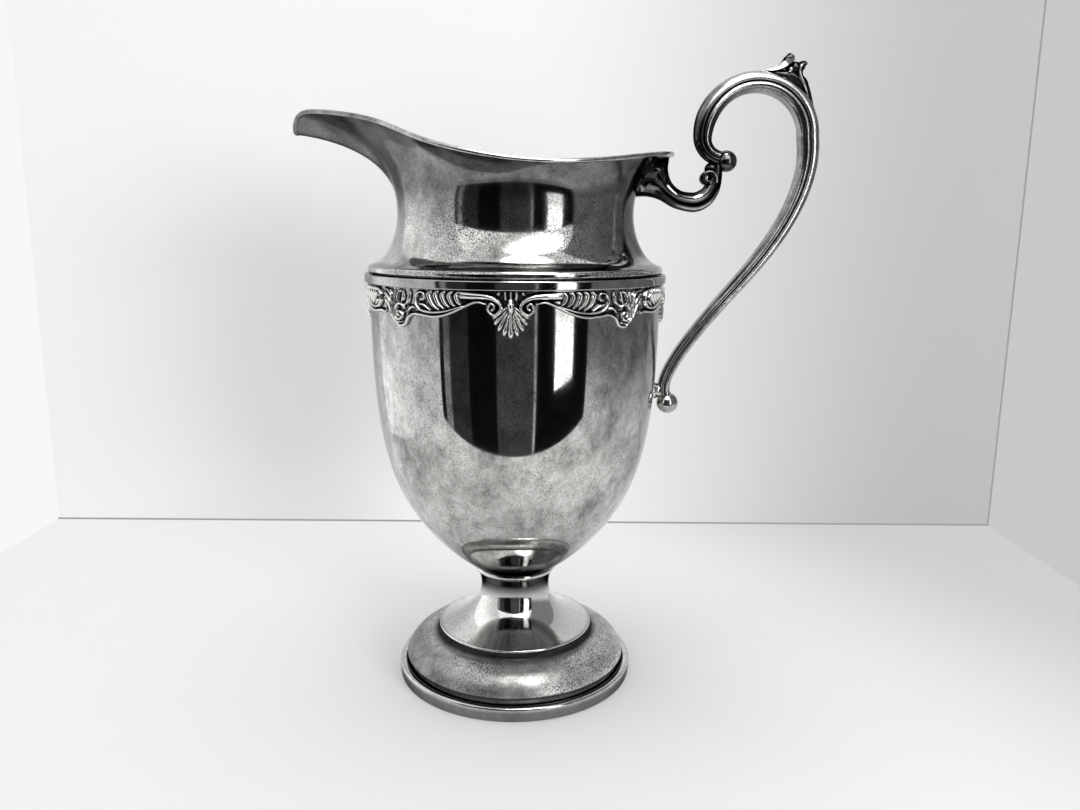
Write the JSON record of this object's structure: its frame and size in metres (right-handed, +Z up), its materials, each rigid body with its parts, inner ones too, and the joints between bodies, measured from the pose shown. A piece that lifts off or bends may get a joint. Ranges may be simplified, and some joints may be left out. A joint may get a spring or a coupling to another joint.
{
  "type": "water pitcher",
  "caption": "Footed silver-plated water pitcher with a deep rounded bowl, waisted neck drawn into a pouring spout, cast scroll border and scroll handle, on a stepped domed foot.",
  "frame": {"origin": "on the surface that the pitcher stands on, under the middle of its outer box in plan", "axes": "+Z up, +X from the spout towards the handle, +Y away from the viewer of the picture"},
  "size_m": [0.206, 0.1204, 0.2547],
  "materials": {
    "plated_sheet": "polished",
    "plated_casting": "satin"
  },
  "bodies": {
    "root": {"foot_band": "plated_sheet", "foot_dome": "plated_sheet", "pedestal": "plated_sheet", "stem_collar": "plated_sheet", "bowl": "plated_sheet", "shoulder_band": "plated_sheet", "neck": "plated_sheet", "rim_wire": "plated_sheet", "border_casting_1": "plated_casting", "border_casting_2": "plated_casting", "border_casting_3": "plated_casting", "border_casting_4": "plated_casting", "handle_scroll": "plated_casting", "scroll_ball": "plated_casting", "handle_foot_ball": "plated_casting", "handle_foot_pad": "plated_casting", "handle_bracket": "plated_casting", "thumb_leaf": "plated_casting"}
  },
  "joints": []
}
